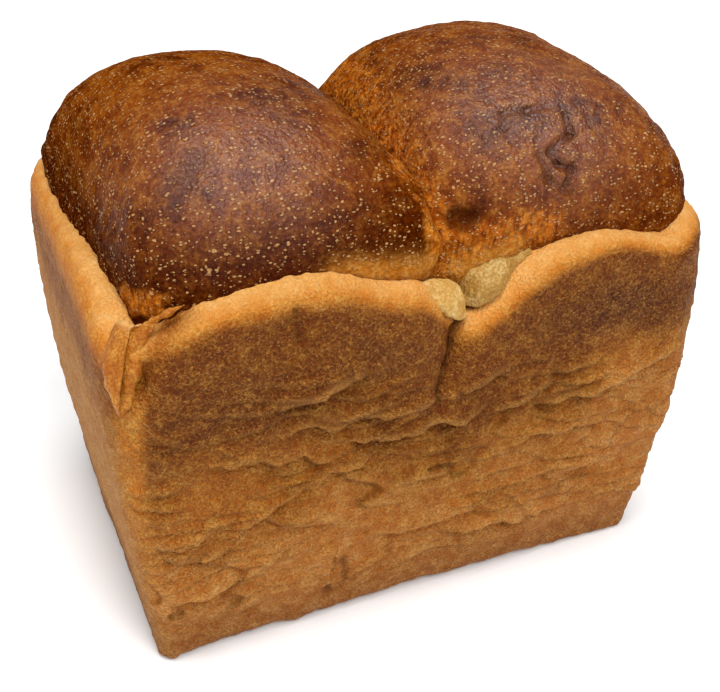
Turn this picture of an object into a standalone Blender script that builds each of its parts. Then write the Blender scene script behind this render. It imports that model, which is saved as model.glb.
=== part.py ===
"""Tin loaf: one solid with a tapered body, a rolled rim, two risen mounds and the folds of its crust.

The body is a rounded rectangle carried up a wall profile and pushed in and out by the folds.
Each mound is a squarish outline that shrinks and rounds off towards its top. A Boolean union
joins them, so the creases between rim and mounds stay sharp. Metres, +Z up, with the origin
under the middle of the base, X along the loaf and -Y towards the folded front.
"""

import bpy
import numpy as np

MM = 0.001

# Body: sizes at the rim, and how the walls draw in towards the base
LENGTH = 197 * MM
DEPTH = 128 * MM
RIM_HEIGHT = 130 * MM
TAPER = 9 * MM
BULGE = 3 * MM
BASE_CORNER = 6 * MM
RIM_CORNER = 24 * MM
BASE_EDGE = 3 * MM
RIM_ROLL = 8 * MM
ROLL_TURN = np.radians(150)
WELL_RISE = 8 * MM
WELL_SHRINK = 0.3

# Height of the rim: it drops at the seam between the mounds, and rises or dips elsewhere
SEAM_X = 6 * MM
SEAM_DROP = 19 * MM
SEAM_REACH = {"left": 10 * MM, "right": 20 * MM}
BACK_SEAM_SHARE = 0.5
FRONT_LIFT = 3 * MM  # of the left half, over the rim height
EDGE_FADE = 14 * MM
RIM_DIPS = (  # place in X and Y, depth and reach
    (-97 * MM, -60 * MM, 11 * MM, 24 * MM),
    (76 * MM, -62 * MM, 6 * MM, 14 * MM),
    (-97 * MM, 62 * MM, -4 * MM, 26 * MM),
    (97 * MM, 62 * MM, 3 * MM, 24 * MM),
)

# Mounds: centre in X, reaches from it, foot above the rim height, height above the foot, drift
# of the crown in X, lean of the outline towards -X at the back, squareness of the four corners
# anticlockwise from the back right one, and roundness
MOUNDS = {
    "left": dict(
        side=-1, centre=-53 * MM, outward=39 * MM, inward=55 * MM, front=57 * MM, back=54 * MM,
        foot=-1 * MM, height=46 * MM, drift=-3 * MM, lean=0.07, corners=(4, 6, 6, 8),
        swell=0.9, dome=0.9, ease=1.9,
    ),
    "right": dict(
        side=1, centre=47 * MM, outward=47 * MM, inward=55 * MM, front=56 * MM, back=54 * MM,
        foot=0, height=45 * MM, drift=-8 * MM, lean=0.02, corners=(4, 4, 8, 6),
        swell=0.9, dome=0.9, ease=1.7,
    ),
}
MOUND_FOOT = np.radians(-40)

# Folds of the front: start and end in X and Z, sag of the middle, and how far the ledge stands out
FRONT_FOLDS = (
    (-54, 98, -26, 103, -2, 1.8),
    (-50, 86, -14, 85, 1, 1.6),
    (-30, 78, 16, 79, -3, 2.0),
    (18, 77, 38, 84, 0, 1.6),
    (-74, 82, -34, 72, 2, 1.4),
    (33, 77, 90, 89, -5, 2.2),
    (4, 88, 22, 91, 1, 1.2),
    (27, 60, 63, 62, 1, 1.5),
    (-90, 54, -66, 59, -2, 1.3),
    (-70, 45, -40, 66, 4, 1.6),
    (-86, 27, -47, 41, -2, 1.7),
    (-22, 36, 25, 40, -4, 1.5),
    (9, 24, 41, 18, 4, 1.3),
)
BACK_FOLDS = (
    (-80, 88, -30, 84, -3, 1.8),
    (-44, 66, 12, 70, 2, 1.6),
    (8, 96, 62, 90, -3, 2.0),
    (30, 58, 84, 64, 2, 1.5),
    (-70, 40, -18, 36, -2, 1.4),
    (4, 34, 60, 42, 3, 1.6),
)
LEDGE_ABOVE = 8 * MM
LEDGE_BELOW = 4 * MM
LEDGE_TURN = 1.5 * MM

# Pinches: two ends of a line, its reach and depth. Seam, dents and the funnel at the front left
PINCHES = (
    ((2, -66, 126), (3, -66, 106), 5, 4.5),
    ((3, -66, 106), (-3, -64, 78), 4, 2.5),
    ((-47, -66, 128), (-46, -66, 104), 4, 1.5),
    ((-80, -62, 138), (-94, -57, 112), 5, 4.5),
    ((-34, -58, 22), (-34, -58, 10), 5, 2.0),
    ((0, 66, 128), (3, 65, 92), 6, 4.0),
)
MOUND_PINCHES = (
    ((8, -44, 148), (12, -50, 136), 5, 2.0),
    ((20, -40, 152), (26, -46, 143), 4, 1.5),
    ((50, -14, 172), (62, -22, 166), 7, 1.6),
    ((24, 40, 158), (14, 46, 146), 7, 1.6),
)

# Stretched skin: two ends, sideways bow of the middle, half height, half thickness
SKINS = {
    "tear": ((4, -54, 112), (34, -53, 127), (0, 0, -1), 7, 5),
    "flap": ((-90, -46, 123), (-76, -56, 130), (0, 0, -1), 4, 2),
}
SKIN_COLUMNS = 12
SKIN_ROWS = 10

# Mesh density: columns on each straight and corner, rows up the wall, rows over the rim
COLUMNS = (34, 4, 12, 4, 20, 4, 12, 4)
EDGE_ROWS = 2
WALL_ROWS = 26
ROLL_ROWS = 6
MOUND_COLUMNS = 52
MOUND_ROWS = 18

CRUST = (0.42, 0.16, 0.045, 1.0)


def outline(station):
    """Eight stretches round the tin from the front left: straight, corner, straight and so on.

    Gives the side of the inner rectangle that a point belongs to and the angle that it faces.
    """
    knots = np.arange(9)
    side_x = np.interp(station, knots, (-1, 1, 1, 1, 1, -1, -1, -1, -1))
    side_y = np.interp(station, knots, (-1, -1, -1, 1, 1, 1, 1, -1, -1))
    facing = np.radians(np.interp(station, knots, (-90, -90, 0, 0, 90, 90, 180, 180, 270)))
    return side_x, side_y, facing


def wall_point(station, height, inset):
    """Place on the tapered, bulging wall at a height, moved inward by an inset."""
    side_x, side_y, facing = outline(station)
    rise = np.clip(height / RIM_HEIGHT, 0, 1)
    corner = BASE_CORNER + (RIM_CORNER - BASE_CORNER) * rise**1.5
    grow = BULGE * np.sin(np.pi * rise**1.3) - TAPER * (1 - rise)
    x = side_x * (LENGTH / 2 + grow - corner) + (corner - inset) * np.cos(facing)
    y = side_y * (DEPTH / 2 + grow - corner) + (corner - inset) * np.sin(facing)
    return x, y


def rim_crest(x, y):
    """Height of the rim's top over a point of the rim's outline."""
    front = np.exp(-(((y + DEPTH / 2) / EDGE_FADE) ** 2))
    back = np.exp(-(((y - DEPTH / 2) / EDGE_FADE) ** 2))
    reach = np.where(x < SEAM_X, SEAM_REACH["left"], SEAM_REACH["right"])
    seam = np.exp(-(((x - SEAM_X) / reach) ** 2))
    lift = np.where(x < SEAM_X, FRONT_LIFT, 0) * front * (1 - seam)
    crest = RIM_HEIGHT - SEAM_DROP * seam * (front + BACK_SEAM_SHARE * back) + lift
    for middle_x, middle_y, dip, spread in RIM_DIPS:
        away = (x - middle_x) ** 2 + (y - middle_y) ** 2
        crest = crest - dip * np.exp(-away / spread**2)
    return crest


def ledges(x, z, folds):
    """Folds as ledges: the crust swells above each line and tucks in below it."""
    push = np.zeros_like(x)
    for start_x, start_z, end_x, end_z, sag, depth in np.array(folds) * MM:
        along = (x - start_x) / (end_x - start_x)
        inside = np.clip(4 * along * (1 - along), 0, 1)
        above = z - (start_z + (end_z - start_z) * along + sag * inside)
        fall = np.where(above > 0, LEDGE_ABOVE, LEDGE_BELOW)
        push += depth * np.sqrt(inside) * np.tanh(above / LEDGE_TURN) * np.exp(-np.abs(above) / fall)
    return push


def pinch(points, lines):
    """Depth of the pinches: each fades with distance from the line between its two ends."""
    depth = np.zeros(points.shape[:-1])
    for start, end, reach, most in lines:
        start, end = np.array(start) * MM, np.array(end) * MM
        run = end - start
        share = np.clip((points - start) @ run / (run @ run), 0, 1)
        away = np.linalg.norm(points - start - share[..., None] * run, axis=-1)
        depth += most * MM * np.exp(-((away / (reach * MM)) ** 2))
    return depth


def body_rings():
    """Closed rings from the base up the wall, over the rolled rim and into the well."""
    station = np.concatenate([np.linspace(k, k + 1, n, endpoint=False) for k, n in enumerate(COLUMNS)])
    facing = outline(station)[2]
    outward = np.stack([np.cos(facing), np.sin(facing), 0 * facing], axis=-1)
    rim_x, rim_y = wall_point(station, RIM_HEIGHT, 0)
    shoulder = rim_crest(rim_x, rim_y) - RIM_ROLL
    edge = np.linspace(0, np.pi / 2, EDGE_ROWS + 1)
    insets = [BASE_EDGE * (1 - np.sin(a)) for a in edge]
    heights = [BASE_EDGE * (1 - np.cos(a)) + 0 * station for a in edge]
    for share in np.linspace(0, 1, WALL_ROWS + 1)[1:]:
        insets.append(0.0)
        heights.append(BASE_EDGE + (shoulder - BASE_EDGE) * share)
    walls = list(heights)
    for turn in np.linspace(0, ROLL_TURN, ROLL_ROWS + 1)[1:]:
        insets.append(RIM_ROLL * (1 - np.cos(turn)))
        heights.append(shoulder + RIM_ROLL * np.sin(turn))
        walls.append(shoulder)
    rings = []
    for inset, height, wall in zip(insets, heights, walls):
        x, y = wall_point(station, wall, inset)
        ring = np.stack([x, y, height], axis=-1)
        push = ledges(x, height, FRONT_FOLDS) * np.clip(-np.sin(facing), 0, 1) ** 2
        push += ledges(x, height, BACK_FOLDS) * np.clip(np.sin(facing), 0, 1) ** 2
        push -= pinch(ring, PINCHES)
        rings.append(ring + outward * push[:, None])
    well = rings[-1] * (WELL_SHRINK, WELL_SHRINK, 1) + (0, 0, WELL_RISE)
    return rings + [well]


def mound_rings(
    side, centre, outward, inward, front, back, foot, height, drift, lean, corners, swell, dome, ease
):
    """Closed rings from a mound's tucked foot to its crown.

    Each ring is a squarish outline. Going up, it shrinks as a power of a cosine, rises as a
    power of a sine and eases into an ellipse.
    """
    around = np.linspace(0, 2 * np.pi, MOUND_COLUMNS, endpoint=False)
    c, s = np.cos(around), np.sin(around)
    power = np.interp(around, np.radians([45, 135, 225, 315]), corners, period=2 * np.pi)
    squarish = (np.abs(c) ** power + np.abs(s) ** power) ** (-1 / power)
    reach_x = np.where(c * side > 0, outward, inward)
    reach_y = np.where(s < 0, front, back)
    middle = np.array([centre, 0, RIM_HEIGHT])
    rings = []
    for tilt in np.linspace(MOUND_FOOT, np.pi / 2, MOUND_ROWS + 1)[:-1]:
        round_off = max(np.sin(tilt), 0) ** ease
        radius = (squarish * (1 - round_off) + round_off) * np.cos(tilt) ** swell
        rise = height * np.sign(tilt) * np.abs(np.sin(tilt)) ** dome
        y = radius * s * reach_y
        x = centre + radius * c * reach_x + drift * round_off - lean * y
        ring = np.stack([x, y, RIM_HEIGHT + foot + rise + 0 * x], axis=-1)
        outward_line = (ring - middle) / np.linalg.norm(ring - middle, axis=-1, keepdims=True)
        rings.append(ring - outward_line * pinch(ring, MOUND_PINCHES)[:, None])
    crown = np.array([centre + drift, 0, RIM_HEIGHT + foot + height])
    return rings, crown


def skin_rings(start, end, bow, half_height, half_thickness):
    """Closed rings of a skin stretched between two ends, thick in the middle and bowed."""
    start, end, bow = np.array(start) * MM, np.array(end) * MM, np.array(bow) * MM
    run = (end - start) / np.linalg.norm(end - start)
    across = np.cross(run, (0, 1, 0))
    through = np.cross(across, run)
    around = np.linspace(0, 2 * np.pi, SKIN_COLUMNS, endpoint=False)
    rings = []
    for share in np.linspace(0, 1, SKIN_ROWS + 1)[1:-1]:
        middle = start + (end - start) * share + bow * np.sin(np.pi * share)
        size = np.sin(np.pi * share**0.8) ** 0.7 * MM
        tall = half_height * size * np.sin(around)[:, None] * across
        thick = half_thickness * size * np.cos(around)[:, None] * through
        rings.append(middle + tall + thick)
    return rings, start, end


def skin_object(name, rings, first=None, last=None):
    """A closed mesh through rings of equal count, ended by a point or by a flat face."""
    count = len(rings[0])
    points = list(np.concatenate(rings))
    here = np.arange(count)
    after = (here + 1) % count
    faces = []
    for row in range(len(rings) - 1):
        low, high = row * count, (row + 1) * count
        faces += np.stack([low + here, low + after, high + after, high + here], axis=-1).tolist()
    for tip, ring_start, flip in ((first, 0, True), (last, (len(rings) - 1) * count, False)):
        if tip is None:
            cap = (ring_start + here).tolist()
            faces.append(cap[::-1] if flip else cap)
            continue
        points.append(tip)
        fan = [ring_start + after, ring_start + here] if flip else [ring_start + here, ring_start + after]
        faces += np.stack(fan + [0 * here + len(points) - 1], axis=-1).tolist()
    mesh = bpy.data.meshes.new(name)
    mesh.from_pydata([tuple(p) for p in points], [], faces)
    mesh.validate()
    obj = bpy.data.objects.new(name, mesh)
    bpy.context.scene.collection.objects.link(obj)
    return obj


def crust_material():
    """Baked crust: golden brown and matt."""
    material = bpy.data.materials.new("baked_crust")
    material.use_nodes = True
    shader = material.node_tree.nodes["Principled BSDF"]
    shader.inputs["Base Color"].default_value = CRUST
    shader.inputs["Roughness"].default_value = 0.55
    shader.inputs["Metallic"].default_value = 0.0
    return material


def join(loaf, helper):
    """Joins a helper into the loaf and keeps the helper out of the result."""
    helper.hide_render = True
    helper.display_type = "WIRE"
    union = loaf.modifiers.new(helper.name, "BOOLEAN")
    union.operation = "UNION"
    union.object = helper


def clear_scene():
    for obj in list(bpy.data.objects):
        bpy.data.objects.remove(obj, do_unlink=True)


def main():
    clear_scene()
    loaf = skin_object("loaf", body_rings())
    for name, sizes in MOUNDS.items():
        rings, crown = mound_rings(**sizes)
        join(loaf, skin_object(f"{name}_mound", rings, last=crown))
    for name, sizes in SKINS.items():
        rings, start, end = skin_rings(*sizes)
        join(loaf, skin_object(name, rings, first=start, last=end))
    loaf.data.materials.append(crust_material())
    loaf.data.shade_smooth()
    loaf.data.set_sharp_from_angle(angle=np.radians(50))


main()
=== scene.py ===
"""Tin loaf with its finish: folded walls with a rolled rim, two risen mounds and stretched skins.

It is laid out as a Blender add-on and run as a script. Every piece is a surface worked out with
numpy on a grid, from the sizes in the property groups, then moved along its own normals by the
folds, dents, blisters and grain of the crust. Metres, +Z up, with the origin under the middle of
the base, X along the loaf and -Y towards the folded front.
"""

import math

import bpy
import numpy as np
from bpy.props import FloatProperty, FloatVectorProperty, PointerProperty
from bpy.types import Operator, Panel, PropertyGroup
from mathutils import Matrix, Vector


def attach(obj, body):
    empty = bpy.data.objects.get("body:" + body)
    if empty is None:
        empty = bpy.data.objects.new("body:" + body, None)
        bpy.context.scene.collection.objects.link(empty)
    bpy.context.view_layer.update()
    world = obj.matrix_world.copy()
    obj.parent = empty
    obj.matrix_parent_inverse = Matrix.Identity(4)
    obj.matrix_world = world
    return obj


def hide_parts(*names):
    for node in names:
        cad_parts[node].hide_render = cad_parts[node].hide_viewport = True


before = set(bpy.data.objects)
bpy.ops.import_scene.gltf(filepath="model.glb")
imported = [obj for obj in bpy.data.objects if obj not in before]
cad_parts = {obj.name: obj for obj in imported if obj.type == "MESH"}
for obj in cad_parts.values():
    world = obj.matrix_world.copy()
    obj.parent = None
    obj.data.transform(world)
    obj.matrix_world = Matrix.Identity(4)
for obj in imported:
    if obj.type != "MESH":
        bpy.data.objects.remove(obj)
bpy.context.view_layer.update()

bl_info = {
    "name": "Tin loaf",
    "version": (1, 0, 0),
    "blender": (4, 5, 0),
    "location": "3D View > Sidebar > Tin loaf",
    "description": "Builds a two-mound tin loaf with its baked crust, and a plain studio for it",
    "category": "Add Mesh",
}

MM = 0.001

# Walls: columns on each straight and corner of the outline from the front left, and rows
WALL_COLUMNS = (200, 40, 50, 20, 100, 20, 80, 40)
EDGE_ROWS, WALL_ROWS, ROLL_ROWS = 8, 142, 27
ROLL_TURN = math.radians(150)
WELL_SHRINK, WELL_RISE = 0.3, 8 * MM

# Height of the rim: it drops at the seam between the mounds, and rises or dips elsewhere
SEAM_X, SEAM_DROP, BACK_SEAM_SHARE = 6 * MM, 19 * MM, 0.5
SEAM_REACH = {"left": 10 * MM, "right": 20 * MM}
FRONT_LIFT, EDGE_FADE = 3 * MM, 14 * MM
RIM_DIPS = (  # place in X and Y, depth and reach, in mm
    (-97, -60, 11, 24),
    (76, -62, 6, 14),
    (-97, 62, -4, 26),
    (97, 62, 3, 24),
    (-14, -64, 7, 13),
)

# Mounds: centre in X, reaches from it, foot above the rim height, height above the foot, drift
# of the crown in X, lean of the outline towards -X at the back, squareness of the four corners
# anticlockwise from the back right one, and how fast the outline rounds off
MOUNDS = {
    "left": dict(
        side=-1, centre=-53, outward=39, inward=55, front=57, back=54, foot=-1, height=46,
        drift=-3, lean=0.07, corners=(4, 6, 6, 8), ease=1.9,
    ),
    "right": dict(
        side=1, centre=47, outward=47, inward=55, front=56, back=54, foot=0, height=45,
        drift=-8, lean=0.02, corners=(4, 4, 8, 6), ease=1.7,
    ),
}
MOUND_FOOT = math.radians(-40)
MOUND_SWELL = 0.9
MOUND_SIDE = 311  # vertices along each side of a mound's grid

# Folds of the walls in mm: start and end in X and Z, sag of the middle, how far the ledge stands out
FRONT_FOLDS = (
    (-54, 97, -26, 102, -2, 1.8),
    (-50, 85, -14, 84, 1, 1.6),
    (-30, 77, 16, 78, -3, 2.0),
    (18, 76, 38, 83, 0, 1.6),
    (-74, 81, -34, 71, 2, 1.4),
    (33, 76, 90, 88, -5, 2.2),
    (39, 79, 57, 80, 1, 1.0),
    (4, 87, 22, 90, 1, 1.2),
    (27, 59, 63, 61, 1, 1.5),
    (-36, 67, -23, 64, 0, 1.0),
    (-90, 54, -66, 58, -2, 1.3),
    (-70, 44, -40, 65, 4, 1.6),
    (-88, 48, -70, 43, 0, 1.0),
    (-86, 26, -47, 40, -2, 1.7),
    (-22, 35, 25, 39, -4, 1.5),
    (9, 23, 41, 18, 4, 1.3),
    (48, 40, 80, 46, -1, 0.9),
    (-12, 56, 18, 60, -2, 0.8),
)
BACK_FOLDS = (
    (-80, 88, -30, 84, -3, 1.8),
    (-44, 66, 12, 70, 2, 1.6),
    (8, 96, 62, 90, -3, 2.0),
    (30, 58, 84, 64, 2, 1.5),
    (-70, 40, -18, 36, -2, 1.4),
    (4, 34, 60, 42, 3, 1.6),
)
LEDGE_ABOVE, LEDGE_BELOW, LEDGE_TURN = 8 * MM, 4 * MM, 0.7 * MM
FOLD_GAIN = 2.0

# Pinches in mm: two ends of a line, its reach and depth. A negative depth is a ridge
PINCHES = (
    ((2, -66, 126), (3, -66, 106), 4.5, 3.8),
    ((3, -66, 106), (-3, -64, 78), 3.6, 2.0),
    ((-47, -66, 128), (-46, -66, 112), 4, 1.2),
    ((0, 66, 128), (3, 65, 92), 6, 4.0),
)
FRONT_MARKS = (  # of the front, so in X and Z alone: seam, dent, arch and its hole, lips at the corner
    ((7, 0, 112), (4, 0, 108), 1.4, 2.6),
    ((4, 0, 108), (0, 0, 97), 1.0, 2.4),
    ((0, 0, 97), (-2, 0, 88), 1.0, 1.8),
    ((-47, 0, 126), (-46, 0, 117), 1.2, 0.8),
    ((-34, 0, 14), (-33, 0, 12), 1.5, 1.0),
    ((-29, 0, 29), (-27, 0, 15), 1.2, 0.8),
    ((-41, 0, 30), (-34, 0, 34), 1.8, -1.6),
    ((-34, 0, 34), (-30, 0, 29), 1.8, -1.6),
    ((-97, 0, 98), (-91, 0, 92), 1.2, -1.2),
    ((-97, 0, 92), (-92, 0, 86), 1.2, -1.0),
)
GROOVES = (  # in mm: the groove between the corner's skin and the front rim, which is painted dark gold as shade
    ((-77, -59, 129), (-89.5, -60, 111), 3.3, 5.0),
)
SHADED_PANELS = (  # of the front, in mm: middle in X and Z, reach in X and Z, and share of dark
    (62, 107, 30, 13, 0.7),
    (-62, 98, 24, 14, 0.35),
    (-24, 108, 16, 9, 0.3),
)
MOUND_PINCHES = (  # dents of the mounds, in the same way
    ((8, -44, 148), (12, -50, 136), 5, 2.0),
    ((20, -40, 152), (26, -46, 143), 4, 1.5),
    ((50, -14, 172), (62, -22, 166), 7, 1.6),
    ((24, 40, 158), (14, 46, 146), 7, 1.6),
)
MOUND_MARKS = (  # scar of the right mound, then a pit and a hollow of the left one
    ((27, -38, 163), (35, -39, 164), 1.6, 1.4),
    ((35, -39, 164), (42, -39, 164), 1.4, 1.0),
    ((27, -38, 163), (25, -43, 160), 1.4, 1.0),
    ((31, -42, 162), (40, -42, 162), 2.2, -0.9),
    ((47, -42, 162), (47, -46, 158), 1.7, 1.8),
    ((47, -46, 158), (38, -49, 154), 1.7, 1.6),
    ((38, -49, 154), (40, -51, 151), 1.5, 1.7),
    ((40, -51, 151), (44, -52, 149), 1.4, 1.6),
    ((45, -52, 149), (42, -54, 145), 1.4, 1.5),
    ((42, -54, 145), (44, -55, 142), 1.2, 1.0),
    ((34, -49, 154), (37, -53, 147), 1.5, 1.4),
    ((34, -52, 148), (40, -54, 144), 1.3, 1.1),
    ((54, -42, 161), (54, -45, 159), 1.3, 1.0),
    ((43, -49, 155), (46, -50, 153), 1.8, -1.2),
    ((38, -46, 158), (43, -45, 159), 1.8, -0.9),
    ((6, -53, 140), (11, -54, 139), 3.0, 3.6),
    ((2, -54, 134), (8, -55, 133), 2.4, -1.2),
    ((13, -55, 135), (19, -56, 134), 2.2, -1.2),
    ((9, -55, 135), (10, -55, 130), 1.4, 1.2),
    ((-6, -47, 149), (-3, -47, 147), 1.4, 2.0),
    ((-8, -47, 150), (-6, -47, 149), 1.2, -1.4),
    ((-66, -40, 163), (-71, -42, 159), 5.0, 1.4),
)
VALLEY = ((4, 40, 154), (1, 14, 160), (-5, -20, 156), (-8, -42, 151), (-2, -51, 138), (2, -55, 122))
GOLD_PATHS = {  # lines in mm along which the crust stayed gold, each with its reach
    "left": ((VALLEY, 5), (((-88, -42, 127), (-82, -52, 130)), 5)),
    "right": ((VALLEY, 11), (((2, -55, 128), (14, -56, 133), (34, -57, 134)), 8)),
}
SHEENS = {  # where the crust is smoothest, in mm
    "left": ((((-58, -42, 163), (-48, -42, 163)), 19),),
    "right": ((((28, -38, 168), (42, -42, 162)), 22),),
}
MEMBRANE_PATHS = {  # lines in mm along which a pale film covers the foot of the mound
    "left": ((((-32, -56, 131), (-20, -57, 130), (-8, -56, 128), (-2, -54, 126)), 4.5),),
    "right": ((((6, -56, 124), (14, -57, 126), (24, -57, 129)), 4),),
}

# Stretched skins in mm: knots that each give a point of the upper edge, one of the lower edge, and
# half the thickness
SKINS = {
    "tear": (
        (8, -53, 122, 7, -57, 111, 2.5), (12, -52, 124, 12, -59, 112.5, 4.5),
        (18, -52, 125, 18, -58.5, 114.5, 4.5), (24, -51, 126, 23, -57.5, 118.5, 3.5),
        (29, -51, 127, 28, -56.5, 123, 2.2), (38, -51, 129, 38, -55, 127, 1),
    ),
    "tear_fold": (
        (-8, -55, 123, -7, -60, 120, 1), (-2, -56, 123.5, -2.5, -62, 116.5, 2),
        (3.5, -56, 122.5, 2.5, -63, 112.5, 2.6), (8, -55, 120, 7.5, -61, 109, 2),
    ),
    "corner_film": (
        (-89, -41, 122, -93, -46, 113, 1.0), (-90.5, -50, 126.5, -97, -56.5, 109, 3.4),
        (-88, -53.5, 125.5, -95, -60.5, 103, 3.4), (-85, -55.5, 126.5, -92.5, -58.5, 117, 2.2),
        (-81.5, -57, 129, -86, -57.5, 126, 1.2), (-75, -58, 131.8, -76.5, -58.5, 130.8, 0.6),
    ),
}

SKIN_COLUMNS, SKIN_ROWS = 120, 240
FLOOR_REACH = 3.0  # metres from the middle to each side
SUNS = (  # name, where it stands, breadth in degrees and strength
    ("overhead", (-0.05, -0.12, 1.0), 22, 1.85),
    ("front", (0.1, -0.6, 0.75), 30, 1.65),
    ("left", (-0.85, -0.1, 0.45), 60, 0.8),
)


def linear(code):
    """An sRGB hex colour as linear red, green and blue."""
    parts = [int(code[k : k + 2], 16) / 255 for k in (1, 3, 5)]
    return [c / 12.92 if c <= 0.04045 else ((c + 0.055) / 1.055) ** 2.4 for c in parts]


def paint(name, description, code):
    """A colour property with an sRGB hex default."""
    return FloatVectorProperty(
        name=name, description=description, default=linear(code), min=0, max=1, subtype="COLOR"
    )


def measure(name, description, metres):
    """A length property."""
    return FloatProperty(name=name, description=description, default=metres, unit="LENGTH")


class LoafSizes(PropertyGroup):
    """Sizes of the walls, of the rim and of the relief."""

    length: measure("Length", "Length at the rim", 0.197)
    depth: measure("Depth", "Depth at the rim", 0.128)
    rim_height: measure("Rim height", "Height of the rim over the base", 0.130)
    rim_roll: measure("Rim roll", "Radius of the rolled rim", 0.008)
    taper: measure("Taper", "How far each wall draws in at the base", 0.009)
    bulge: measure("Bulge", "How far each wall bows out", 0.003)
    base_corner: measure("Base corner", "Corner radius at the base", 0.006)
    rim_corner: measure("Rim corner", "Corner radius at the rim", 0.024)
    blister_height: measure("Blisters", "Height of the largest blisters", 0.0005)
    fold_strength: FloatProperty(
        name="Folds", description="Share of the depth of the folds", default=1.0, subtype="FACTOR"
    )


class LoafColours(PropertyGroup):
    """Colours of the crust."""

    rim_pale: paint("Rim, palest", "Crest of the rim", "#e1a65d")
    rim_gold: paint("Rim, gold", "Outer side of the rim", "#cb8330")
    wall_band: paint("Wall, band", "Dark band under the rim", "#82470c")
    wall_brown: paint("Wall, brown", "Middle of the front", "#ad6a21")
    wall_tan: paint("Wall, tan", "Low part of the front", "#c17d39")
    # Painted highlight on the lips of the folds
    fold_highlight: paint("Fold, light", "Lips of the folds", "#cf9850")
    # Painted shade in the depths of the folds and in the dents of the front, and also the dark patches and
    # darker foot of the front
    fold_shade_and_dark_patch: paint("Fold, dark", "Depths of the folds", "#55290c")
    # Light flecks of the walls, and the painted highlight on the light tips of the crinkle lines
    fleck_and_crinkle_highlight: paint("Fleck", "Light flecks of the walls", "#ca8c42")
    end_gold: paint("End, gold", "Top of the ends", "#c17624")
    end_brown: paint("End, brown", "Upper part of the ends", "#9a5c1e")
    end_tan: paint("End, tan", "Middle of the ends", "#c28439")
    # Dark patches of the mounds and their darker low part, and also the painted shade in their dents and
    # along the foot tucked behind the front rim
    mound_dark_and_shade: paint("Mound, dark", "Dark patches of the mounds", "#4c1d02")
    mound_brown: paint("Mound, brown", "Most of the mounds", "#7d3e0a")
    mound_light: paint("Mound, light", "Light patches of the mounds", "#914f13")
    valley_gold: paint("Valley, gold", "Light fibres of the valley", "#c16e1d")
    valley_dark: paint("Valley, dark", "Dark fibres of the valley", "#7e3c08")
    membrane: paint("Membrane", "Film along the foot of the mounds", "#be7d31")
    blister: paint("Blister", "Blisters of the mounds", "#cc9860")
    dough: paint("Torn dough", "Main lobe of the skin at the seam", "#ae8643")
    dough_pale: paint("Torn dough, pale", "Fold beside it", "#c69c56")
    film_edge: paint("Film, edge", "Free edge of the amber skin", "#d9a55f")
    film: paint("Film", "Golden skin at the corner", "#ab671a")
    # Painted shade in the amber groove beside the corner's skin
    shaded_groove: paint("Groove", "Amber groove beside that skin", "#8a4a0a")
    floor: paint("Floor", "Board under the loaf", "#fafafa")


def bearing(name, description, degrees):
    """An angle property."""
    radians = math.radians(degrees)
    return FloatProperty(name=name, description=description, default=radians, subtype="ANGLE")


class LoafStudio(PropertyGroup):
    """The camera."""

    azimuth: bearing("Azimuth", "Direction of the camera round the loaf", -24.63)
    elevation: bearing("Elevation", "Height of the camera over the horizon", 32.24)
    roll: bearing("Roll", "Turn of the camera about its axis", 1.8)
    distance: measure("Distance", "Camera to target", 0.3904)
    target: FloatVectorProperty(
        name="Target",
        description="Point that the camera looks at",
        default=(0.0013, 0, 0.0669),
        unit="LENGTH",
    )
    lens: FloatProperty(
        name="Lens", description="Focal length in millimetres for a 36 mm sensor", default=55.0
    )


# Noise


def lattice(cells, seed):
    """A repeatable random number from 0 to 1 for each whole-number cell: its three numbers are mixed."""
    whole = np.asarray(cells).astype(np.int64).astype(np.uint32)
    mixed = whole[..., 0] * np.uint32(0x8DA6B343)
    mixed ^= whole[..., 1] * np.uint32(0xD8163841)
    mixed ^= whole[..., 2] * np.uint32(0xCB1AB31F)
    mixed ^= np.uint32((seed * 0x9E3779B1 + 0x7F4A7C15) % 2**32)
    for shift, factor in ((15, 0x2C1B3C6D), (12, 0x297A2D39)):
        mixed ^= mixed >> np.uint32(shift)
        mixed *= np.uint32(factor)
    mixed ^= mixed >> np.uint32(15)
    return mixed / 2.0**32


def soft_noise(points, size, seed):
    """Smooth field from -1 to 1: random numbers at the corners of cubes of this size, blended."""
    scaled = points / size
    low = np.floor(scaled)
    part = scaled - low
    part = part**3 * (part * (part * 6 - 15) + 10)
    total = np.zeros(points.shape[:-1])
    for corner in np.ndindex(2, 2, 2):
        weight = np.prod(np.where(np.array(corner, bool), part, 1 - part), axis=-1)
        total += weight * lattice(low + corner, seed)
    return 2 * total - 1


def layered_noise(points, size, layers, seed):
    """Soft noise at a size, plus half that size at half the strength, and so on."""
    total = np.zeros(points.shape[:-1])
    for layer in range(layers):
        total += soft_noise(points, size / 2**layer, seed + 17 * layer) / 2**layer
    return total


def nearest_dot(points, size, seed):
    """Distance in cubes to the nearest of dots scattered one to a cube, and that dot's own number."""
    scaled = points / size
    low = np.floor(scaled)
    nearest = np.full(points.shape[:-1], 9.0)
    number = np.zeros(points.shape[:-1])
    for step in np.ndindex(3, 3, 3):
        cell = low + step - 1
        dot = cell + np.stack([lattice(cell, seed + axis) for axis in range(3)], axis=-1)
        away = np.linalg.norm(scaled - dot, axis=-1)
        closer = away < nearest
        nearest = np.where(closer, away, nearest)
        number = np.where(closer, lattice(cell, seed + 7), number)
    return nearest, number


def fade(value, low, high):
    """0 at low and below, 1 at high and above, and smooth between them."""
    share = np.clip((value - low) / (high - low), 0, 1)
    return share * share * (3 - 2 * share)


# Shapes


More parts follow.
